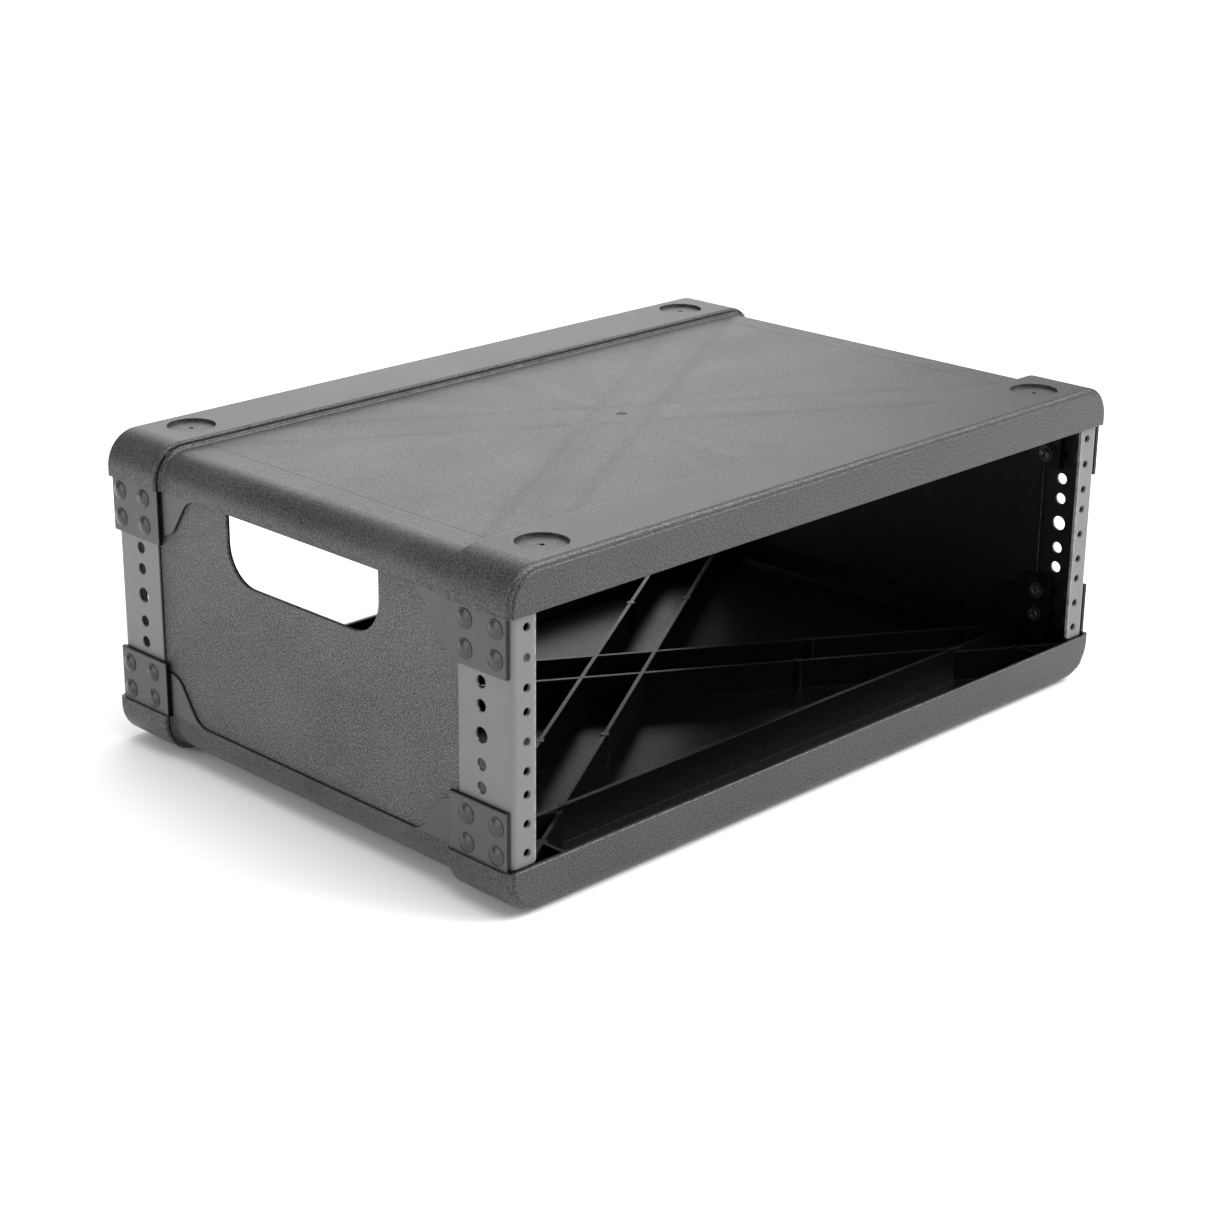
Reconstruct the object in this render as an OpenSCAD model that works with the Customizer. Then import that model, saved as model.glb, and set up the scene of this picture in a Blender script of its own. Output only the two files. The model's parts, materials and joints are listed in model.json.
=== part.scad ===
// Moulded carrying case for rack-mounted audio equipment.
// Two identical plastic shells, top and bottom, are held apart by four steel
// rack rails, and by two side panels that stand in grooves between the shells.
// Front faces -Y, +X is the right-hand side, and the rubber feet stand on z = 0.

/* [Rack bay] */
// Height of the bay in rack units
rack_units = 3; // [3:1:6]
// Distance between the two columns of rack holes
hole_span = 465.1; // [465.1:0.1:465.9]
// Diameter of the tapped rack holes
rack_hole_d = 5; // [4:0.1:6]
// Free height that the bay has over its rack units
bay_play = 1.65; // [0.5:0.05:4]

/* [Case] */
// Width over the rim bands
case_w = 495; // [492:1:594]
// Depth from front edge to rear edge
case_d = 334; // [270:1:600]
// Height of the solid band above and below the bay
skirt_h = 25; // [20:0.5:40]
// Radius of the long corners
corner_r = 20; // [18:0.5:20]
// Wall of the rim bands
rim_wall = 3; // [2.5:0.1:3.6]
// Width of the raised rim band at each end
rim_w = 46.5; // [46:0.5:64]
// How far the rim band stands out from the middle of the case
rim_step = 4.2; // [3:0.1:4.4]

/* [Rails] */
// Sheet thickness of the rack rails
rail_t = 1.8; // [1.5:0.1:2.5]
// Depth of the rail's side flange
rail_depth = 38.4; // [36:0.1:60]
// Outer bend radius of the rail
rail_bend_r = 4; // [3:0.5:5]
// Metal between the rack holes' centre line and the rail's inner edge
rail_edge = 6.05; // [5:0.05:8]
// Setback of the rail's face behind the front edge of the case
rail_setback = 3.1; // [3.1:0.1:6]
// Diameter of the holes in the rail's side flange
side_hole_d = 7; // [5:0.5:8]
// Diameter of the middle hole in the rail's side flange
mid_hole_d = 9; // [7:0.5:11]

/* [Side panels] */
// Thickness of the side panel
panel_t = 2.5; // [2:0.1:3]
// How far the panel's edge runs under the rail flange
panel_lap = 3.5; // [2:0.1:3.8]
// Width of the hand hole
grip_w = 127; // [90:0.5:140]
// Height of the hand hole below the top skirt
grip_h = 39.5; // [30:0.5:60]
// Corner radius of the hand hole
grip_r = 22; // [8:1:28]

/* [Shell corners] */
// Thickness of the outer rivet pad
pad_t = 2.9; // [2:0.1:3.5]
// Height of the rivet pad below the skirt edge
pad_drop = 32; // [30:0.5:36]
// How far the S-shaped tab drops below the skirt edge
tab_drop = 26; // [24:0.5:28]
// Radius of the two bends of the S-shaped tab
tab_r = 14; // [8:1:15]
// Slope of the S-shaped tab
tab_slope = 56; // [45:1:70]
// Thickness of the lip and tabs inside the side panel
lip_t = 2.8; // [2:0.1:3.5]

/* [Floor ribs] */
// Thickness of the ribs
rib_t = 2.4; // [1.6:0.1:4]
// Angle of the crossed ribs from the case's width
rib_angle = 31.6; // [25:0.1:40]
// Distance between the two ribs of a pair
rib_gap = 33.2; // [24:0.1:50]

/* [Rivets] */
// Shank diameter
rivet_d = 4.8; // [4:0.1:5.5]
// Head diameter
rivet_head_d = 11; // [8:0.5:11]
// Head height
rivet_head_h = 2.1; // [1.5:0.1:3]
// Outer rivet column, from the end of the case
rivet_inset = 11.4; // [11:0.1:14]
// Distance between the two rivet columns
rivet_pitch = 22; // [20:0.1:23]
// Washer diameter
washer_d = 10; // [8:0.5:10]
// Washer thickness
washer_t = 1; // [0.6:0.1:1.6]

/* [Feet] */
// Diameter of the foot recess
foot_recess_d = 28; // [20:0.5:36]
// Depth of the foot recess
foot_recess_h = 1.8; // [1:0.1:2.2]
// How far a foot stands out below the rim
foot_drop = 3; // [2:0.5:8]
// Gap round a foot in its recess
foot_gap = 0.3; // [0.1:0.1:1]
// Distance of the foot's centre from the side of the case
foot_inset = 44.5; // [36:0.5:60]
// Pilot hole for the foot screw
pilot_d = 2.8; // [2:0.1:3.5]

/* [Hidden] */

$fn = 48;
eps = 0.01;

// Standard pattern of rack holes: three in each unit
unit_h = 44.45;
hole_off = 15.875;

bay_h = rack_units*unit_h + bay_play;
edge_z = bay_h/2;                    // skirt edge, from the middle of the case
half_w = case_w/2;
half_d = case_d/2;
half_h = edge_z + skirt_h;
mid_z = half_h + foot_drop;          // height of the middle above the ground
corner_x = half_w - corner_r;
corner_z = half_h - corner_r;
leg_h = corner_z - edge_z;           // straight side of the shell above its edge

// Side stack, from outside to inside
pad_inset = 1.5;
pad_x = half_w - pad_inset;
rail_x = pad_x - pad_t;
panel_x = rail_x - rail_t;
lip_x = panel_x - panel_t;
lip_in_x = lip_x - lip_t;
boss_h = 0.8;                        // round boss under each inner rivet tail
mid_wall = half_w - rim_step - panel_x;

// Places along the depth, from the middle of the case
rim_y = half_d - rim_w;
pad_y = half_d - 4;
rail_y = half_d - rail_setback;
flange_y = rail_y - rail_depth;
panel_y = flange_y + panel_lap;
side_hole_y = rail_y - 21.8;         // holes in the rails' side flanges
rivet_y = [half_d - rivet_inset - rivet_pitch, half_d - rivet_inset];
foot_y = half_d - rim_w/2;
foot_x = half_w - foot_inset;

// Tabs that clamp the side panel from inside: an S-shaped one and a leaning one
clip_r = 6;
clip_slope = 68;
clip_drop = 22.3;
clip_y = rim_y - 12.6;
tab_back_y = rim_y + 0.9;
tab_front_y = rivet_y[0] + 9.1;
tab_lean = 0.25;                     // run over rise
tail_boss_r = 7.3;

// Heights of rack holes and rivets, from the middle of the case
rack_z = [for (u = [0 : rack_units - 1]) for (k = [-1 : 1])
    (u - (rack_units - 1)/2)*unit_h + k*hole_off];
top_hole_z = (rack_units - 1)/2*unit_h + hole_off;
rivet_z = [top_hole_z - hole_off, top_hole_z];

// Stepped edge and step of the rim band
bead_r = 2.9;
bead_ledge = 0.3;
lip_r = 1;
step_r = 1.5;
ledge_w = 2;
ledge_n = corner_r - rim_step/2;
mid_n = corner_r - rim_step;
skirt_n = corner_r - bead_r - bead_ledge - lip_r;

// Ribs inside the shell, and the posts that stand along the crossed ones
rib_z = edge_z + 0.5;
low_rib_z = rib_z + 2.7;
rib_floor = half_h - rim_wall;
end_rib_y = rim_y + 2;
post_r = 2.6;
posts = [[83, 1], [116, -1], [166.5, 1], [202, -1]];   // place along X, side of the pair

rail_end = edge_z - 0.3;
rail_corner_r = 2.5;                 // lower inner corner

foot_h = foot_recess_h + foot_drop;
foot_taper = 1.2;
screw_head_d = 7;
screw_head_h = 2;
screw_seat = foot_drop - 0.6;        // depth of the pocket for the screw's head
screw_len = 12;
pilot_len = screw_len + 4;
boss_d = 6.5;
tail_r = 3.3;
tail_h = 1.6;

function arc(c, r, a0, a1, n = 6) =
    [for (i = [0 : n]) let (a = a0 + (a1 - a0)*i/n) [c[0] + r*cos(a), c[1] + r*sin(a)]];

// Half of the shell's lengthwise section: [distance from the corner's centre, depth]
function outer_half() = concat(
    [[mid_n, 0]],
    arc([mid_n + step_r, rim_y - ledge_w - step_r], step_r, 180, 90, 4),
    [[ledge_n - step_r/2, rim_y - ledge_w]],
    arc([ledge_n - step_r/2, rim_y - ledge_w + step_r/2], step_r/2, 270, 360, 4),
    [[ledge_n, rim_y]],
    arc([corner_r - step_r, rim_y + step_r], step_r, 270, 360),
    arc([corner_r - bead_r, half_d - lip_r - bead_r], bead_r, 0, 90, 8),
    [[skirt_n + lip_r, half_d - lip_r]],
    arc([skirt_n, half_d - lip_r], lip_r, 0, 90));

function inner_half() = [
    [skirt_n - 0.5, half_d],
    [skirt_n - 0.5, half_d - rim_wall],
    [corner_r - rim_wall, half_d - rim_wall],
    [corner_r - rim_wall, rim_y - 1],
    [mid_n - mid_wall, rim_y - 4],
    [mid_n - mid_wall, 0]];

// Sweeps a lengthwise section round the top and both sides of a shell
module around() {
    rotate([0, -90, 0])
        linear_extrude(2*corner_x, center = true)
            translate([corner_z, 0]) children();
    for (s = [0, 1]) mirror([s, 0, 0]) {
        translate([corner_x, 0, corner_z]) rotate([90, 0, 0])
            rotate_extrude(angle = 90) children();
        translate([corner_x, 0, edge_z])
            linear_extrude(leg_h) children();
    }
}

module shell_section() {
    for (s = [0, 1]) mirror([0, s]) polygon(concat(outer_half(), inner_half()));
}

// Outline of the shell seen from the front, with its wall set in
module cap(inset, low) {
    r = corner_r - inset;
    intersection() {
        union() {
            translate([-corner_x, 0]) square([2*corner_x, corner_z + r]);
            translate([-corner_x - r, 0]) square([2*(corner_x + r), corner_z]);
            for (s = [-1, 1]) translate([s*corner_x, corner_z]) circle(r);
        }
        translate([-half_w, low]) square([case_w, half_h]);
    }
}

module along_y(y0, y1) {
    translate([0, y1, 0]) rotate([90, 0, 0]) linear_extrude(y1 - y0) children();
}

module along_x(x0, x1) {
    translate([x0, 0, 0]) rotate([90, 0, 90]) linear_extrude(x1 - x0) children();
}

module each_corner() {
    for (sx = [0, 1]) for (sy = [0, 1]) mirror([sx, 0, 0]) mirror([0, sy, 0]) children();
}

// S-shaped outline of a tab that drops from the skirt edge, flat from y1 to y2
module s_tab(y1, y2, top, drop, r, slope) {
    s = (drop - 2*r*(1 - cos(slope)))/sin(slope);
    y0 = y1 - 2*r*sin(slope) - s*cos(slope);
    polygon(concat(
        arc([y0, top - r], r, 90, 90 - slope),
        arc([y1, top - drop + r], r, 270 - slope, 270),
        [[y2, top - drop], [y2, top + 4], [y0, top + 4]]));
}

// Flat front and rear walls of the shell, with an eased lower edge
module skirts() {
    ease = 0.7;
    for (s = [0, 1]) mirror([0, s, 0]) difference() {
        along_y(-half_d, -half_d + rim_wall) cap(corner_r - skirt_n, edge_z);
        for (y = [-half_d, -half_d + rim_wall])
            translate([0, y, edge_z]) rotate([45, 0, 0])
                cube([case_w, ease, ease], center = true);
    }
}

// Outer rivet pad and S-shaped tab of one corner
module outer_corner() {
    ease = 0.8;
    difference() {
        union() {
            translate([rail_x, rim_y, edge_z - pad_drop])
                cube([pad_t, pad_y - rim_y, pad_drop + leg_h + 1.5]);
            along_x(panel_x, panel_x + mid_wall)
                s_tab(rim_y, flange_y - 0.5, edge_z, tab_drop, tab_r, tab_slope);
        }
        translate([pad_x, pad_y, edge_z]) rotate([0, 0, 45])
            cube([ease, ease, 2*pad_drop + 1], center = true);
        translate([pad_x, (rim_y + pad_y)/2, edge_z - pad_drop]) rotate([0, 45, 0])
            cube([ease, rim_w, ease], center = true);
        rivet_holes();
    }
}

// Lip and tabs of one corner that clamp the side panel from inside
module inner_corner() {
    tab_low = edge_z - pad_drop;
    fill_y = panel_y + 0.2;
    difference() {
        union() {
            along_x(lip_in_x, lip_x) {
                s_tab(clip_y, tab_back_y, rib_z, clip_drop, clip_r, clip_slope);
                translate([-eps, edge_z + 1]) square([rim_y, skirt_h]);
                polygon([[tab_back_y, tab_low], [tab_front_y, tab_low],
                    [tab_front_y, half_h], [tab_back_y - tab_lean*(half_h - tab_low), half_h]]);
            }
            translate([lip_in_x, fill_y, tab_low])
                cube([panel_x - lip_in_x, tab_front_y - fill_y, pad_drop + leg_h]);
            for (z = rivet_z) translate([lip_in_x - boss_h, rivet_y[0], z])
                rotate([0, 90, 0]) cylinder(r = tail_boss_r, h = boss_h + 1);
        }
        rivet_holes();
    }
}

module rivet_holes() {
    for (y = rivet_y) for (z = rivet_z)
        translate([lip_in_x - 5, y, z]) rotate([0, 90, 0])
            cylinder(d = rivet_d, h = half_w);
}

// Straight rib through a point of the floor, at an angle from the X axis
module rib(x, y, angle, from, to, low = rib_z) {
    translate([x, y, low]) rotate([0, 0, angle])
        translate([from, -rib_t/2, 0]) cube([to - from, rib_t, skirt_h]);
}

module crossed_ribs() {
    half_gap = rib_gap/2/cos(rib_angle);
    for (s = [-1, 1]) for (k = [-1, 1])
        rib(0, k*half_gap, s*rib_angle, -half_w, half_w);
    each_corner() for (p = posts)
        translate([p[0], p[0]*tan(rib_angle) + p[1]*half_gap, rib_z - 0.2])
            cylinder(r = post_r, h = skirt_h);
}

// Rib along the inside of each rim band, and the lower ribs through the foot boss
module end_ribs() {
    each_corner() {
        rib(0, end_rib_y, 0, -1, lip_x - 1);
        rib(foot_x, foot_y, rib_angle, (end_rib_y - foot_y)/sin(rib_angle), rim_w, low_rib_z);
        rib(foot_x, foot_y, 90, 0, rim_w, low_rib_z);
        translate([foot_x, foot_y, low_rib_z]) cylinder(d = boss_d, h = skirt_h);
    }
}

// Everything inside the shell's skin, trimmed to the skin
module shell_inside() {
    intersection() {
        translate([-lip_in_x - 1, -end_rib_y, 0])
            cube([2*lip_in_x + 2, 2*end_rib_y, half_h]);
        crossed_ribs();
        along_y(-end_rib_y - 1, end_rib_y + 1) cap(rim_step + mid_wall/2, rib_z - 1);
    }
    intersection() {
        end_ribs();
        along_y(-half_d + 1, half_d - 1) cap(rim_wall/2, rib_z - 1);
    }
    each_corner() intersection() {
        inner_corner();
        union() {
            along_y(rim_y - 2, half_d - 1) cap(rim_wall/2, 0);
            along_y(-eps, rim_y - 1) cap(rim_step + mid_wall/2, 0);
        }
    }
}

module foot_cuts() {
    each_corner() translate([foot_x, foot_y, 0]) {
        translate([0, 0, half_h - foot_recess_h])
            cylinder(d = foot_recess_d, h = foot_recess_h + 1);
        translate([0, 0, half_h - foot_recess_h - pilot_len])
            cylinder(d = pilot_d, h = pilot_len + 1);
    }
}

// One shell, drawn as the top one, with z measured from the middle of the case
module shell() {
    difference() {
        union() {
            around() shell_section();
            skirts();
            shell_inside();
            each_corner() {
                outer_corner();
                translate([foot_x, foot_y, rib_floor - foot_recess_h])
                    cylinder(d = foot_recess_d + 2*rim_wall, h = foot_recess_h + eps);
            }
        }
        foot_cuts();
    }
}

module top_shell() {
    color("#262628") translate([0, 0, mid_z]) shell();
}

module bottom_shell() {
    color("#262628") translate([0, 0, mid_z]) mirror([0, 0, 1]) shell();
}

// Places a piece drawn for the front left corner: sx and sy are 1 on the right and the rear
module at_corner(sx, sy) {
    translate([0, 0, mid_z]) mirror([sx, 0, 0]) mirror([0, sy, 0]) children();
}

module rail_section() {
    r = rail_bend_r;
    x_in = hole_span/2 - rail_edge;
    translate([-rail_x, -rail_y + r]) square([rail_t, rail_depth - r]);
    translate([-rail_x + r, -rail_y]) square([rail_x - r - x_in, rail_t]);
    intersection() {
        translate([-rail_x + r, -rail_y + r]) difference() {
            circle(r);
            circle(r - rail_t);
        }
        translate([-rail_x, -rail_y]) square(r + eps);
    }
}

module rail() {
    hole_x = hole_span/2;
    x_in = hole_x - rail_edge;
    r = rail_corner_r;
    color("#6a6b6d") difference() {
        translate([0, 0, -rail_end]) linear_extrude(2*rail_end) rail_section();
        for (z = rack_z) translate([-hole_x, -rail_y - 1, z])
            rotate([-90, 0, 0]) cylinder(d = rack_hole_d, h = rail_t + 2);
        for (z = rack_z) translate([-rail_x - 1, -side_hole_y, z])
            rotate([0, 90, 0]) cylinder(d = z == 0 ? mid_hole_d : side_hole_d, h = rail_t + 2);
        for (s = [0, 1]) mirror([0, 0, s]) for (y = rivet_y) for (z = rivet_z)
            translate([-rail_x - 1, -y, z])
                rotate([0, 90, 0]) cylinder(d = rivet_d, h = rail_t + 2);
        translate([-x_in - r, -rail_y - 1, -rail_end]) rotate([-90, 0, 0]) difference() {
            translate([0, -r, 0]) cube([r + 1, r + eps, rail_t + 2]);
            translate([0, -r, -1]) cylinder(r = r, h = rail_t + 4);
        }
    }
}

module side_panel() {
    gap = 0.15;
    top = edge_z + leg_h - gap;
    low = edge_z - grip_h;
    color("#3a3a3c") along_x(-panel_x, -panel_x + panel_t) difference() {
        translate([-panel_y, -top]) square([2*panel_y, 2*top]);
        translate([-grip_w/2, low + grip_r]) square([grip_w, top]);
        translate([-grip_w/2 + grip_r, low]) square([grip_w - 2*grip_r, grip_r + eps]);
        for (s = [-1, 1])
            translate([s*(grip_w/2 - grip_r), low + grip_r]) circle(grip_r);
    }
}

// Domed blind rivet along +X, seated at x = 0, that clamps a stack of a given depth
module rivet(grip) {
    dome_r = (pow(rivet_head_d/2, 2) + pow(rivet_head_h, 2))/2/rivet_head_h;
    dome_a = asin(rivet_head_d/2/dome_r);
    rotate([0, 90, 0]) rotate_extrude() polygon(concat(
        arc([0, dome_r - rivet_head_h], dome_r, 270, 270 + dome_a, 10),
        [[rivet_d/2, 0], [rivet_d/2, grip], [tail_r, grip], [tail_r, grip + tail_h - 0.4],
            [tail_r - 0.4, grip + tail_h], [1.2, grip + tail_h], [1.2, grip + 0.4],
            [0, grip + 0.4]]));
}

function stack(i) = (i == 0 ? pad_x - lip_in_x + boss_h : pad_x - panel_x);

module rivets() {
    color("#1c1c1d") for (s = [0, 1]) mirror([0, 0, s]) for (i = [0, 1]) for (z = rivet_z)
        translate([-pad_x, -rivet_y[i], z]) rivet(stack(i) + washer_t);
}

module washers() {
    color("#1c1c1d") for (s = [0, 1]) mirror([0, 0, s]) for (i = [0, 1]) for (z = rivet_z)
        translate([-pad_x + stack(i), -rivet_y[i], z]) rotate([0, 90, 0]) difference() {
            cylinder(d = washer_d, h = washer_t);
            translate([0, 0, -1]) cylinder(d = rivet_d, h = washer_t + 2);
        }
}

module foot(sx, sy) {
    d = foot_recess_d - 2*foot_gap;
    color("#151515") translate([sx*foot_x, sy*foot_y, 0]) difference() {
        union() {
            cylinder(d1 = d - 2*foot_taper, d2 = d, h = foot_taper);
            translate([0, 0, foot_taper]) cylinder(d = d, h = foot_h - foot_taper);
        }
        translate([0, 0, -1]) cylinder(d = screw_head_d + 1, h = screw_seat + 1);
        translate([0, 0, -1]) cylinder(d = pilot_d, h = foot_h + 2);
    }
}

module foot_screws() {
    color("#8c8d90") for (sx = [-1, 1]) for (sy = [-1, 1])
        translate([sx*foot_x, sy*foot_y, screw_seat]) rotate_extrude()
            polygon(concat(
                [[0, -screw_head_h + 1], [1, -screw_head_h + 1], [1, -screw_head_h]],
                arc([screw_head_d/2 - 0.8, -screw_head_h + 0.8], 0.8, -90, 0, 4),
                [[screw_head_d/2, 0], [pilot_d/2, 0],
                    [pilot_d/2, screw_len - 1], [0.4, screw_len], [0, screw_len]]));
}

module rail_front_left() { at_corner(0, 0) rail(); }
module rail_front_right() { at_corner(1, 0) rail(); }
module rail_rear_left() { at_corner(0, 1) rail(); }
module rail_rear_right() { at_corner(1, 1) rail(); }
module side_panel_left() { at_corner(0, 0) side_panel(); }
module side_panel_right() { at_corner(1, 0) side_panel(); }
module rivets_front_left() { at_corner(0, 0) rivets(); }
module rivets_front_right() { at_corner(1, 0) rivets(); }
module rivets_rear_left() { at_corner(0, 1) rivets(); }
module rivets_rear_right() { at_corner(1, 1) rivets(); }
module washers_front_left() { at_corner(0, 0) washers(); }
module washers_front_right() { at_corner(1, 0) washers(); }
module washers_rear_left() { at_corner(0, 1) washers(); }
module washers_rear_right() { at_corner(1, 1) washers(); }

top_shell();
bottom_shell();
rail_front_left();
rail_front_right();
rail_rear_left();
rail_rear_right();
side_panel_left();
side_panel_right();
rivets_front_left();
rivets_front_right();
rivets_rear_left();
rivets_rear_right();
washers_front_left();
washers_front_right();
washers_rear_left();
washers_rear_right();
foot(-1, -1);  // foot_front_left
foot(1, -1);  // foot_front_right
foot(-1, 1);  // foot_rear_left
foot(1, 1);  // foot_rear_right
foot_screws();
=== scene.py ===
import json
import math
from functools import partial
from itertools import product
import bpy
import bmesh
from mathutils import Matrix, Vector


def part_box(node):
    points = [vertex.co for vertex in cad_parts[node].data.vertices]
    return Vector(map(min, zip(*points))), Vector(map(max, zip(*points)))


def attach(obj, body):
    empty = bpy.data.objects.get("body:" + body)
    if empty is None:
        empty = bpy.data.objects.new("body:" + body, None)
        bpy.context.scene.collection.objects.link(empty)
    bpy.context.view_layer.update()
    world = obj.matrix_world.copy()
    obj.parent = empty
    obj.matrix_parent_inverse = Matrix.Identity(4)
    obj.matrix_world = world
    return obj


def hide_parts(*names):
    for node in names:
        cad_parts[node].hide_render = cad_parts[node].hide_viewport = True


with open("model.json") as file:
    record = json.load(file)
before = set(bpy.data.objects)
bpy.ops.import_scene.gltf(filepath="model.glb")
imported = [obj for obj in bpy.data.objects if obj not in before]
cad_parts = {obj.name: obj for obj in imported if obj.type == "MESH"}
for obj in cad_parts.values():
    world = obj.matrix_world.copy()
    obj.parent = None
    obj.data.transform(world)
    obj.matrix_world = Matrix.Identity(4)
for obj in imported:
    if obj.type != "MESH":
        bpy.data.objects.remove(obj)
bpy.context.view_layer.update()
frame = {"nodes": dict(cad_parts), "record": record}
nodes = frame["nodes"]
mm = 0.001
weld = 0.002*mm  # a new piece's points closer than this are merged
print("frame loaded:", len(nodes), "nodes")

# The case's own sizes, read from its solids
caseLow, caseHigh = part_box("bottom_shell")[0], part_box("top_shell")[1]
halfWidth, halfDepth = caseHigh.x, caseHigh.y
midHeight = (caseLow.z + caseHigh.z)/2
halfHeight = caseHigh.z - midHeight


def linearColour(hexText):
    parts = [int(hexText[i:i + 2], 16)/255 for i in (1, 3, 5)]
    parts = [p/12.92 if p <= 0.04045 else ((p + 0.055)/1.055)**2.4 for p in parts]
    return parts + [1]


# An input goes by its name or number, and is a value, a node, or a node and the number of its
# output. A Math node takes numbers 0 to 2, a MapRange node the value, then from and to
def addNode(tree, kind, inputs=None, **settings):
    node = tree.nodes.new("ShaderNode" + kind)
    for key, value in settings.items():
        setattr(node, key, value)
    for key, value in (inputs or {}).items():
        source, output = value if isinstance(value, tuple) else (value, 0)
        if isinstance(source, bpy.types.Node):
            tree.links.new(source.outputs[output], node.inputs[key])
        else:
            node.inputs[key].default_value = value
    return node


# A new material, the function that adds nodes to it, and its object coordinates
def newFinish(name):
    finish = bpy.data.materials.new(name)
    finish.use_nodes = True
    finish.node_tree.nodes.clear()
    add = partial(addNode, finish.node_tree)
    return finish, add, (add("TexCoord"), 3)


shellFinish = {
    "grainSize": 1.0*mm, "grainDepth": 0.14*mm, "edge": 0.45*mm,
    "outerDark": "#141415", "outerLight": "#3f3f41", "inner": "#070708",
    "outerRough": 0.37, "innerRough": 0.33, "roughSpread": 0.1,
    "outerShine": 0.45, "innerShine": 0.2, "spotShine": 1.3, "markShine": -0.8,
    "cornerRadius": 20*mm, "rimWidth": 46.5*mm, "middleWall": 14.8*mm, "rimWall": 3.2*mm,
    "mouthInset": 1.5*mm, "rimMargin": 1.5*mm, "middleMargin": 4*mm,
    "ribAngle": 31.6, "ribGap": 33.2*mm, "sinkWidth": 8*mm, "sinkShade": 0.14,
    "borderLine": 212*mm, "borderOuter": 1.1*mm, "borderInner": 0.3*mm, "borderShade": 0.3,
    "gateRadius": 3.6*mm, "gateCore": 0.7, "gateShade": 0.85, "gateDepth": -3, "borderDepth": -0.8,
    "mottleSize": 45*mm, "mottleShade": 0.4,
    "rayTurns": 2.2, "rayReach": 4, "raySize": 0.6, "rayShade": 0.6,
    "skirt": 25.5*mm, "padSmooth": 0.8, "padPaintedSheen": 0.45, "innerGrain": 0.1,
    "spotRange": (0.32, 0.68), "ior": 1.5,
}
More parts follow.
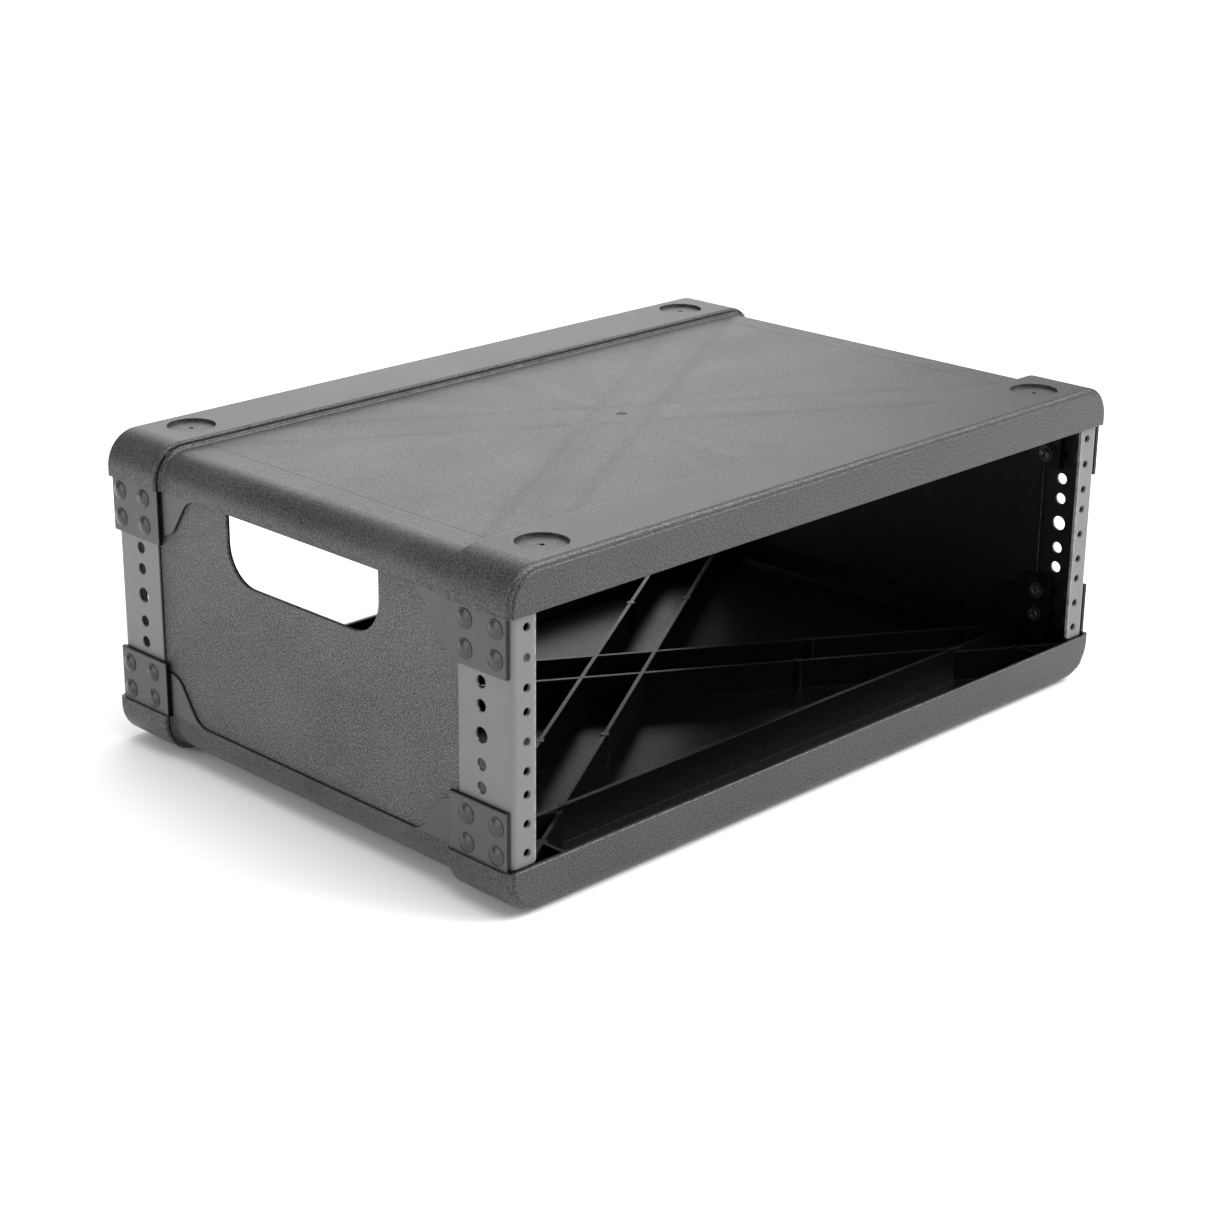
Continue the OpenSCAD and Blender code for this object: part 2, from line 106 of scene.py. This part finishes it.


# Black ABS, injection moulded: the spark-eroded outside scatters light to a soft grey with a fine
# grain, and the smoother inside is painted near black as painted shade. The grain is drawn a
# little coarser than it is
def mouldedAbs():
    look = shellFinish
    finish, add, place = newFinish("injectionMouldedAbs")
    parts = add("SeparateXYZ", {0: place})
    x, y = (parts, 0), (parts, 1)
    ax = add("Math", {0: x}, operation="ABSOLUTE")
    ay = add("Math", {0: y}, operation="ABSOLUTE")
    az = add("Math", {0: (parts, 2), 1: midHeight}, operation="SUBTRACT")
    az = add("Math", {0: az}, operation="ABSOLUTE")
    # Distance from the axis of the long round corner tells the wall's two faces apart
    overX = add("Math", {0: ax, 1: halfWidth - look["cornerRadius"]}, operation="SUBTRACT")
    overX = add("Math", {0: overX, 1: 0}, operation="MAXIMUM")
    overZ = add("Math", {0: az, 1: halfHeight - look["cornerRadius"]}, operation="SUBTRACT")
    overZ = add("Math", {0: overZ, 1: 0}, operation="MAXIMUM")
    squareZ = add("Math", {0: overZ, 1: overZ}, operation="MULTIPLY")
    reach = add("Math", {0: overX, 1: overX, 2: squareZ}, operation="MULTIPLY_ADD")
    reach = add("Math", {0: reach}, operation="SQRT")
    rimY = halfDepth - look["rimWidth"]
    inRim = add("Math", {0: ay, 1: rimY - look["rimMargin"]}, operation="GREATER_THAN")
    wall = add("Math", {0: inRim, 1: look["rimWall"], 2: look["middleWall"]},
               operation="MULTIPLY_ADD")
    inWall = add("Math", {0: reach, 1: wall}, operation="LESS_THAN")
    inMouth = add("Math", {0: ay, 1: halfDepth - look["mouthInset"]}, operation="LESS_THAN")
    inside = add("Math", {0: inWall, 1: inMouth}, operation="MULTIPLY")
    outside = add("Math", {0: 1, 1: inside}, operation="SUBTRACT")
    inMiddle = add("Math", {0: ay, 1: rimY - look["middleMargin"]}, operation="LESS_THAN")
    # Faint sink lines where the crossed ribs stand on the other side of the wall, darkened in
    # colour as painted shade
    slope = math.radians(look["ribAngle"])
    halfGap = look["ribGap"]/2/math.cos(slope)
    lines = []
    for lean in (-math.tan(slope), math.tan(slope)):
        away = add("Math", {0: x, 1: lean, 2: y}, operation="MULTIPLY_ADD")
        away = add("Math", {0: away}, operation="ABSOLUTE")
        away = add("Math", {0: away, 1: halfGap}, operation="SUBTRACT")
        away = add("Math", {0: away}, operation="ABSOLUTE")
        lines.append(add("MapRange", {0: away, 1: look["sinkWidth"], 2: 0},
                         interpolation_type="SMOOTHSTEP"))
    sinks = add("Math", {0: lines[0], 1: lines[1]}, operation="MAXIMUM")
    sinks = add("Math", {0: sinks, 1: inMiddle}, operation="MULTIPLY")
    sinks = add("Math", {0: sinks, 1: outside}, operation="MULTIPLY")
    # Thin witness line of the mould's insert, and the gate's mark in the middle: a groove and a
    # pit, painted near black as painted shade
    border = add("Math", {0: ax, 1: look["borderLine"]}, operation="SUBTRACT")
    border = add("Math", {0: border}, operation="ABSOLUTE")
    border = add("MapRange", {0: border, 1: look["borderOuter"], 2: look["borderInner"]})
    border = add("Math", {0: border, 1: inMiddle}, operation="MULTIPLY")
    squareY = add("Math", {0: y, 1: y}, operation="MULTIPLY")
    fromGate = add("Math", {0: x, 1: x, 2: squareY}, operation="MULTIPLY_ADD")
    fromGate = add("Math", {0: fromGate}, operation="SQRT")
    gateCore = look["gateRadius"]*look["gateCore"]
    gate = add("MapRange", {0: fromGate, 1: look["gateRadius"], 2: gateCore})
    borderShade = add("Math", {0: border, 1: look["borderShade"]}, operation="MULTIPLY")
    paintedMarkShade = add("Math", {0: gate, 1: look["gateShade"]}, operation="MULTIPLY")
    paintedMarkShade = add("Math", {0: paintedMarkShade, 1: borderShade}, operation="MAXIMUM")
    # Plastic that flowed out from the gate leaves wide pale and dark rays
    heading = add("Math", {0: y, 1: x}, operation="ARCTAN2")
    heading = add("Math", {0: heading, 1: look["rayTurns"]}, operation="MULTIPLY")
    spread = add("Math", {0: fromGate, 1: look["rayReach"]}, operation="MULTIPLY")
    rays = add("CombineXYZ", {0: heading, 1: spread})
    rays = add("TexNoise", {"Vector": rays, "Scale": 1/look["raySize"], "Detail": 3,
                            "Roughness": 0.5})
    rays = add("Math", {0: rays, 1: 0.5}, operation="SUBTRACT")
    rays = add("Math", {0: rays, 1: inMiddle}, operation="MULTIPLY")
    # The pads and tabs below the skirt's edge are smoother than the grained skin, and painted
    # paler as a painted highlight
    onPad = add("Math", {0: az, 1: halfHeight - look["skirt"]}, operation="LESS_THAN")
    onPad = add("Math", {0: outside, 1: onPad}, operation="MULTIPLY")
    skin = add("Math", {0: onPad, 1: look["padSmooth"]}, operation="MULTIPLY")
    skin = add("Math", {0: 1, 1: skin}, operation="SUBTRACT")
    grain = add("TexNoise", {"Vector": place, "Scale": 1/look["grainSize"], "Detail": 3,
                             "Roughness": 0.7})
    spotLow, spotHigh = look["spotRange"]
    spots = add("MapRange", {0: grain, 1: spotLow, 2: spotHigh})
    spots = add("Math", {0: spots, 1: 0.5}, operation="SUBTRACT")
    spots = add("Math", {0: spots, 1: skin}, operation="MULTIPLY")
    mottle = add("TexNoise", {"Vector": place, "Scale": 1/look["mottleSize"], "Detail": 3,
                              "Roughness": 0.5})
    mottle = add("Math", {0: mottle, 1: 0.5}, operation="SUBTRACT")
    # Colour
    tone = add("Math", {0: mottle, 1: look["mottleShade"], 2: 0.5}, operation="MULTIPLY_ADD")
    tone = add("Math", {0: rays, 1: look["rayShade"], 2: tone}, operation="MULTIPLY_ADD")
    # Painted highlight: the pads and tabs are painted paler
    tone = add("Math", {0: onPad, 1: look["padPaintedSheen"], 2: tone}, operation="MULTIPLY_ADD")
    tone = add("Math", {0: tone, 1: spots}, operation="ADD")
    # Painted shade: the colour is darkened along the sink lines
    tone = add("Math", {0: sinks, 1: -look["sinkShade"], 2: tone}, operation="MULTIPLY_ADD")
    inner = linearColour(look["inner"])
    colour = add("Mix", {0: tone, 6: linearColour(look["outerDark"]),
                         7: linearColour(look["outerLight"])}, data_type="RGBA")
    # Painted shade: the inside faces are painted near black
    colour = add("Mix", {0: inside, 6: (colour, 2), 7: inner}, data_type="RGBA")
    # Painted shade: the groove and the gate's pit are painted near black
    colour = add("Mix", {0: paintedMarkShade, 6: (colour, 2), 7: inner}, data_type="RGBA")
    # Roughness and shine
    rough = add("Math", {0: outside, 1: look["outerRough"] - look["innerRough"],
                         2: look["innerRough"]}, operation="MULTIPLY_ADD")
    rough = add("Math", {0: mottle, 1: look["roughSpread"], 2: rough}, operation="MULTIPLY_ADD")
    shine = add("Math", {0: rays, 1: look["rayShade"], 2: 1}, operation="MULTIPLY_ADD")
    shine = add("Math", {0: sinks, 1: -look["sinkShade"], 2: shine}, operation="MULTIPLY_ADD")
    base = add("Math", {0: outside, 1: look["outerShine"] - look["innerShine"],
                        2: look["innerShine"]}, operation="MULTIPLY_ADD")
    shine = add("Math", {0: shine, 1: base}, operation="MULTIPLY")
    for source, share in ((paintedMarkShade, look["markShine"]), (spots, look["spotShine"])):
        factor = add("Math", {0: source, 1: share, 2: 1}, operation="MULTIPLY_ADD")
        shine = add("Math", {0: shine, 1: factor}, operation="MULTIPLY")
    # Relief
    height = add("Math", {0: outside, 1: 1 - look["innerGrain"], 2: look["innerGrain"]},
                 operation="MULTIPLY_ADD")
    height = add("Math", {0: height, 1: grain}, operation="MULTIPLY")
    height = add("Math", {0: height, 1: skin}, operation="MULTIPLY")
    for source, depth in ((gate, look["gateDepth"]), (border, look["borderDepth"])):
        height = add("Math", {0: source, 1: depth, 2: height}, operation="MULTIPLY_ADD")
    soft = add("Bevel", {"Radius": look["edge"]}, samples=4)
    bump = add("Bump", {"Strength": 1, "Distance": look["grainDepth"], "Height": height,
                        "Normal": soft})
    shader = add("BsdfPrincipled", {"Base Color": (colour, 2), "Roughness": rough, "IOR": look["ior"],
                                    "Specular IOR Level": shine, "Normal": bump})
    add("OutputMaterial", {"Surface": shader})
    return finish


panelFinish = {
    "dark": "#171718", "light": "#76767a", "inner": "#0b0b0c", "pebble": 1.2*mm, "speck": 0.9*mm,
    "cloud": 60*mm, "cloudShade": 0.3, "depth": 0.2*mm, "edge": 0.6*mm, "rough": 0.5,
    "outerShine": 0.4, "innerShine": 0.15, "speckRange": (0.46, 0.66), "crownRange": (0.55, 0.1),
    "ior": 1.5,
}


# Polyethylene sheet, extruded through a coarse pebble roller: pale speckles on a dark ground
# outside, and a smooth face towards the bay, painted dark as painted shade
def pebbledSheet():
    look = panelFinish
    finish, add, place = newFinish("pebbledPolyethyleneSheet")
    low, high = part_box("side_panel_right")
    across = add("Math", {0: add("SeparateXYZ", {0: place})}, operation="ABSOLUTE")
    inside = add("Math", {0: across, 1: (low.x + high.x)/2}, operation="LESS_THAN")
    cells = add("TexVoronoi", {"Vector": place, "Scale": 1/look["pebble"]})
    crownLow, crownHigh = look["crownRange"]
    crowns = add("MapRange", {0: cells, 1: crownLow, 2: crownHigh})
    specks = add("TexNoise", {"Vector": place, "Scale": 1/look["speck"], "Detail": 3,
                              "Roughness": 0.65})
    speckLow, speckHigh = look["speckRange"]
    specks = add("MapRange", {0: specks, 1: speckLow, 2: speckHigh})
    cloud = add("TexNoise", {"Vector": place, "Scale": 1/look["cloud"], "Detail": 3,
                             "Roughness": 0.5})
    tone = add("Math", {0: cloud, 1: look["cloudShade"], 2: specks}, operation="MULTIPLY_ADD")
    colour = add("Mix", {0: tone, 6: linearColour(look["dark"]), 7: linearColour(look["light"])},
                 data_type="RGBA")
    # Painted shade: the face towards the bay is painted dark
    colour = add("Mix", {0: inside, 6: (colour, 2), 7: linearColour(look["inner"])},
                 data_type="RGBA")
    shine = add("Math", {0: inside, 1: look["innerShine"] - look["outerShine"],
                         2: look["outerShine"]}, operation="MULTIPLY_ADD")
    height = add("Math", {0: crowns, 1: specks}, operation="ADD")
    soft = add("Bevel", {"Radius": look["edge"]}, samples=4)
    bump = add("Bump", {"Strength": 1, "Distance": look["depth"], "Height": height, "Normal": soft})
    shader = add("BsdfPrincipled", {"Base Color": (colour, 2), "Roughness": look["rough"],
                                    "IOR": look["ior"], "Specular IOR Level": shine, "Normal": bump})
    add("OutputMaterial", {"Surface": shader})
    return finish


railFinish = {
    "dark": "#5e5e60", "light": "#6b6b6d", "inner": "#141415", "paintedEdgeHighlight": "#8d8d8f",
    "cloud": 30*mm, "smooth": 0.32, "dull": 0.46, "outerShine": 0.5, "innerShine": 0.2,
    "faceDepth": 2.2*mm, "halfSheet": 0.9*mm, "highlightOuter": 1.6*mm, "highlightInner": 0.2*mm,
    "highlightBreakup": 4*mm, "highlightBreakupRange": (0.35, 0.6), "peel": 2.2*mm, "depth": 0.02*mm, "edge": 0.4*mm,
    "ior": 1.5,
}


# Steel sheet, bent and powder coated in charcoal: satin with a faint orange peel. The inner
# faces are painted near black as painted shade, and the flange's edge gets a broken painted highlight
def coatedSteel():
    look = railFinish
    finish, add, place = newFinish("powderCoatedSteel")
    low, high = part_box("rail_rear_right")
    parts = add("SeparateXYZ", {0: place})
    ax = add("Math", {0: parts}, operation="ABSOLUTE")
    ay = add("Math", {0: (parts, 1)}, operation="ABSOLUTE")
    onFlange = add("Math", {0: ay, 1: high.y - look["faceDepth"]}, operation="LESS_THAN")
    inside = add("Math", {0: ax, 1: high.x - look["halfSheet"]}, operation="LESS_THAN")
    inside = add("Math", {0: onFlange, 1: inside}, operation="MULTIPLY")
    cloud = add("TexNoise", {"Vector": place, "Scale": 1/look["cloud"], "Detail": 3,
                             "Roughness": 0.5})
    # Noise that breaks up the painted highlight along the flange's edge
    highlightBreakup = add("TexNoise", {"Vector": place, "Scale": 1/look["highlightBreakup"], "Detail": 4,
                             "Roughness": 0.5})
    breakupLow, breakupHigh = look["highlightBreakupRange"]
    highlightBreakup = add("MapRange", {0: highlightBreakup, 1: breakupLow, 2: breakupHigh})
    # Painted highlight: a paler band along the flange's edge
    edgeHighlight = add("MapRange", {0: ax, 1: low.x + look["highlightOuter"], 2: low.x + look["highlightInner"]})
    edgeHighlight = add("Math", {0: edgeHighlight, 1: highlightBreakup}, operation="MULTIPLY")
    colour = add("Mix", {0: cloud, 6: linearColour(look["dark"]), 7: linearColour(look["light"])},
                 data_type="RGBA")
    # Painted shade: the inner faces are painted near black
    colour = add("Mix", {0: inside, 6: (colour, 2), 7: linearColour(look["inner"])},
                 data_type="RGBA")
    colour = add("Mix", {0: edgeHighlight, 6: (colour, 2), 7: linearColour(look["paintedEdgeHighlight"])}, data_type="RGBA")
    rough = add("MapRange", {0: cloud, 1: 0, 2: 1, 3: look["smooth"], 4: look["dull"]})
    shine = add("Math", {0: inside, 1: look["innerShine"] - look["outerShine"],
                         2: look["outerShine"]}, operation="MULTIPLY_ADD")
    peel = add("TexNoise", {"Vector": place, "Scale": 1/look["peel"], "Detail": 2, "Roughness": 0.5})
    soft = add("Bevel", {"Radius": look["edge"]}, samples=4)
    bump = add("Bump", {"Strength": 1, "Distance": look["depth"], "Height": peel, "Normal": soft})
    shader = add("BsdfPrincipled", {"Base Color": (colour, 2), "Roughness": rough, "IOR": look["ior"],
                                    "Specular IOR Level": shine, "Normal": bump})
    add("OutputMaterial", {"Surface": shader})
    return finish


# One cloudy colour and a fine relief of the same size, for the small parts and the floor
def plainFinish(name, darkHex, lightHex, size, depth, settings):
    finish, add, place = newFinish(name)
    cloud = add("TexNoise", {"Vector": place, "Scale": 1/size, "Detail": 3, "Roughness": 0.5})
    colour = add("Mix", {0: cloud, 6: linearColour(darkHex), 7: linearColour(lightHex)},
                 data_type="RGBA")
    bump = add("Bump", {"Strength": 1, "Distance": depth, "Height": cloud})
    shader = add("BsdfPrincipled", {**settings, "Base Color": (colour, 2), "Normal": bump})
    add("OutputMaterial", {"Surface": shader})
    return finish


finishes = {
    "shell_plastic": mouldedAbs(),
    "panel_plastic": pebbledSheet(),
    "rail_steel": coatedSteel(),
    # Aluminium rivets, headed and then lacquered black: glossy domes
    "rivet_black": plainFinish("lacqueredAluminium", "#202021", "#2b2b2c", 3*mm, 0.01*mm,
                               {"Roughness": 0.25, "IOR": 1.5}),
    # Steel washers, phosphated and oiled: dull black with a fine crystal grain
    "washer_black": plainFinish("phosphatedSteel", "#161617", "#202021", 0.8*mm, 0.02*mm,
                                {"Roughness": 0.45, "IOR": 1.5}),
    # Rubber feet, compression moulded: flat black with a slightly chalky grain
    "foot_rubber": plainFinish("mouldedRubber", "#151515", "#1e1e1e", 1.2*mm, 0.03*mm,
                               {"Roughness": 0.75, "IOR": 1.5}),
    # Steel screws, zinc plated in a barrel: bright, with small tumbling dents
    "screw_steel": plainFinish("zincPlatedSteel", "#a8a9ad", "#bfc0c4", 1.5*mm, 0.01*mm,
                               {"Roughness": 0.32, "Metallic": 1}),
}
slotOf = {part["node"]: part["material_slot"] for part in frame["record"]["subparts"]}
for name, node in nodes.items():
    node.data.materials.clear()
    node.data.materials.append(finishes[slotOf[name]])
print("finishes:", sorted(set(slotOf.values())))


# Makes a piece of a bmesh, with its seams closed and its faces outwards
def newPiece(name, bm, slot):
    bmesh.ops.remove_doubles(bm, verts=bm.verts, dist=weld)
    bmesh.ops.recalc_face_normals(bm, faces=bm.faces)
    mesh = bpy.data.meshes.new(name)
    bm.to_mesh(mesh)
    bm.free()
    mesh.materials.append(finishes[slot])
    piece = bpy.data.objects.new(name, mesh)
    bpy.context.scene.collection.objects.link(piece)
    return piece


# Turns a profile of (radius, distance along the axis) and sets it at a place
def lathe(bm, profile, steps, place, axis):
    start = len(bm.verts)
    verts = [bm.verts.new((radius, 0, along)) for radius, along in profile]
    edges = [bm.edges.new(pair) for pair in zip(verts, verts[1:])]
    bmesh.ops.spin(bm, geom=verts + edges, cent=(0, 0, 0), axis=(0, 0, 1),
                   angle=2*math.pi, steps=steps, use_merge=True)
    turn = Vector((0, 0, 1)).rotation_difference(Vector(axis)).to_matrix().to_4x4()
    turned = list(bm.verts)[start:]
    bmesh.ops.transform(bm, matrix=Matrix.Translation(place) @ turn, verts=turned)


def arcPoints(centre, radius, fromAngle, toAngle, count):
    angles = [math.radians(fromAngle + (toAngle - fromAngle)*i/count) for i in range(count + 1)]
    across, up = centre
    return [(across + radius*math.cos(a), up + radius*math.sin(a)) for a in angles]


# The rim's points are measured from the head's radius and from the top of the rim
rivetSettings = {
    "headRadius": 5.5*mm, "rimHeight": 0.5*mm, "rimWidth": 0.6*mm, "headHeight": 2.1*mm,
    "rimPoints": ((-0.5*mm, 0), (-0.15*mm, -0.05*mm), (0, -0.2*mm)), "domeSteps": 10,
    "shankRadius": 2.35*mm, "tailRadius": 3.3*mm, "tailHeight": 1.6*mm, "tailBevel": 0.4*mm,
    "boreRadius": 1.2*mm, "boreFloor": 0.4*mm, "steps": 40, "heights": (60.325*mm, 44.45*mm),
}
rivet = rivetSettings
headRadius, tailRadius, bevel = rivet["headRadius"], rivet["tailRadius"], rivet["tailBevel"]
domeEdge = headRadius - rivet["rimWidth"]
domeRise = rivet["headHeight"] - rivet["rimHeight"]
domeRadius = (domeEdge**2 + domeRise**2)/2/domeRise
domeAngle = math.degrees(math.asin(domeEdge/domeRadius))
domeCentre = (0, rivet["headHeight"] - domeRadius)
dome = arcPoints(domeCentre, domeRadius, 90, 90 - domeAngle, rivet["domeSteps"])
rim = [(headRadius + out, rivet["rimHeight"] + up) for out, up in rivet["rimPoints"]]
for end in ("front_left", "front_right", "rear_left", "rear_right"):
    low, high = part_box("rivets_" + end)
    washLow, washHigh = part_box("washers_" + end)
    side = -1 if low.x < 0 else 1
    fore = -1 if low.y < 0 else 1
    inX, outX = sorted((low.x, high.x), key=abs)
    nearY, farY = sorted((low.y, high.y), key=abs)
    washX = max(washLow.x, washHigh.x, key=abs)
    seat = outX - side*rivet["headHeight"]
    # The near column also clamps the shell's inner tab, so its tail sits further in
    columns = [(farY - fore*headRadius, abs(seat - washX) + rivet["tailHeight"]),
               (nearY + fore*headRadius, abs(seat - inX))]
    bm = bmesh.new()
    for y, tailTop in columns:
        grip = tailTop - rivet["tailHeight"]
        floorAt = grip + rivet["boreFloor"]
        profile = dome + rim + [(headRadius, 0), (rivet["shankRadius"], 0)]
        profile += [(rivet["shankRadius"], -grip), (tailRadius, -grip)]
        profile += [(tailRadius, bevel - tailTop), (tailRadius - bevel, -tailTop)]
        profile += [(rivet["boreRadius"], -tailTop), (rivet["boreRadius"], -floorAt), (0, -floorAt)]
        for z in rivet["heights"]:
            for up in (-1, 1):
                lathe(bm, profile, rivet["steps"], (seat, y, midHeight + up*z), (side, 0, 0))
    for face in bm.faces:
        face.smooth = True
    piece = newPiece("setRivets_" + end, bm, "rivet_black")
    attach(piece, "root")
    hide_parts("rivets_" + end)
print("rivets turned")

# The tapped holes in the rails' faces, set out in rack units
threadSettings = {
    "outer": 2.49*mm, "depth": 0.32*mm, "pitch": 0.6*mm, "turns": 3, "steps": 24,
    "start": 0.05*mm, "runOut": 0.1*mm, "across": 465.1*mm, "rows": 3, "unit": 44.45*mm,
    "off": 15.875*mm,
}
thread = threadSettings
outer, start, pitch = thread["outer"], thread["start"], thread["pitch"]
profile = []
for turn in range(thread["turns"]):
    crest = -start - turn*pitch
    profile += [(outer, crest), (outer - thread["depth"], crest - pitch/2)]
profile += [(outer, thread["runOut"] - start - thread["turns"]*pitch), (outer, -start)]
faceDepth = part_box("rail_rear_right")[1].y
bm = bmesh.new()
for fore, side, row, step in product((-1, 1), (-1, 1), range(thread["rows"]), (-1, 0, 1)):
    z = midHeight + (row - (thread["rows"] - 1)/2)*thread["unit"] + step*thread["off"]
    lathe(bm, profile, thread["steps"], (side*thread["across"]/2, fore*faceDepth, z), (0, fore, 0))
threads = newPiece("rackThreads", bm, "rail_steel")
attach(threads, "root")
print("threads cut")

# Floor, lights and camera
stageSettings = {
    "floorSize": 60, "skyColour": "#ffffff", "skyStrength": 0.42,
    "sunStrength": 3.2, "sunAngle": 80, "sunPlace": (0.7, -0.7, 2.4),
}
stage = stageSettings
mesh = bpy.data.meshes.new("floor")
bm = bmesh.new()
bmesh.ops.create_grid(bm, x_segments=1, y_segments=1, size=stage["floorSize"]/2)
bm.to_mesh(mesh)
bm.free()
floor = bpy.data.objects.new("floor", mesh)
bpy.context.scene.collection.objects.link(floor)
# Matt paper, rolled out: almost white, with a faint fibre
floor.data.materials.append(plainFinish("paperFloor", "#f4f4f4", "#f8f8f8", 300*mm, 0.01*mm,
                                        {"Roughness": 0.9, "Specular IOR Level": 0.1}))

world = bpy.data.worlds.new("studio")
world.use_nodes = True
background = world.node_tree.nodes["Background"]
background.inputs["Color"].default_value = linearColour(stage["skyColour"])
background.inputs["Strength"].default_value = stage["skyStrength"]
bpy.context.scene.world = world
bpy.context.scene.view_settings.view_transform = "Standard"


def aim(lamp, place, target):
    lamp.location = place
    lamp.rotation_euler = (Vector(target) - Vector(place)).to_track_quat("-Z", "Y").to_euler()


sun = bpy.data.objects.new("skylight", bpy.data.lights.new("skylight", "SUN"))
sun.data.energy = stage["sunStrength"]
sun.data.angle = math.radians(stage["sunAngle"])
aim(sun, stage["sunPlace"], (0, 0, 0))
bpy.context.scene.collection.objects.link(sun)

softboxes = [
    {"name": "frontBox", "place": (1.7, -2.1, 1.9), "size": 2.2, "power": 78},
    {"name": "backBox", "place": (1.6, 2.2, 1.3), "size": 2.4, "power": 20},
    {"name": "leftBox", "place": (-2.6, 0.3, 1.0), "size": 2.2, "power": 28},
]
for box in softboxes:
    light = bpy.data.lights.new(box["name"], "AREA")
    light.shape = "DISK"
    light.size = box["size"]
    light.energy = box["power"]
    lamp = bpy.data.objects.new(box["name"], light)
    aim(lamp, box["place"], (0, 0, midHeight))
    bpy.context.scene.collection.objects.link(lamp)

# The place is measured from the middle of the case; turn, rise and roll are in degrees
cameraSettings = {
    "place": (-1.03018, -1.00156, 0.49357), "turn": -43.289, "rise": 20.302, "roll": -0.199,
    "focalLength": 75.73, "filmWidth": 36, "shift": (0.07664, 0.00815), "clipStart": 0.01,
}
view = cameraSettings
camera = bpy.data.objects.new("camera", bpy.data.cameras.new("camera"))
camera.data.sensor_width = view["filmWidth"]
camera.data.lens = view["focalLength"]
camera.data.clip_start = view["clipStart"]
camera.data.shift_x, camera.data.shift_y = view["shift"]
camera.matrix_world = (Matrix.Translation(Vector(view["place"]) + Vector((0, 0, midHeight)))
                       @ Matrix.Rotation(math.radians(view["turn"]), 4, "Z")
                       @ Matrix.Rotation(math.radians(90 - view["rise"]), 4, "X")
                       @ Matrix.Rotation(math.radians(view["roll"]), 4, "Z"))
bpy.context.scene.collection.objects.link(camera)
bpy.context.scene.camera = camera
print("stage and camera set")
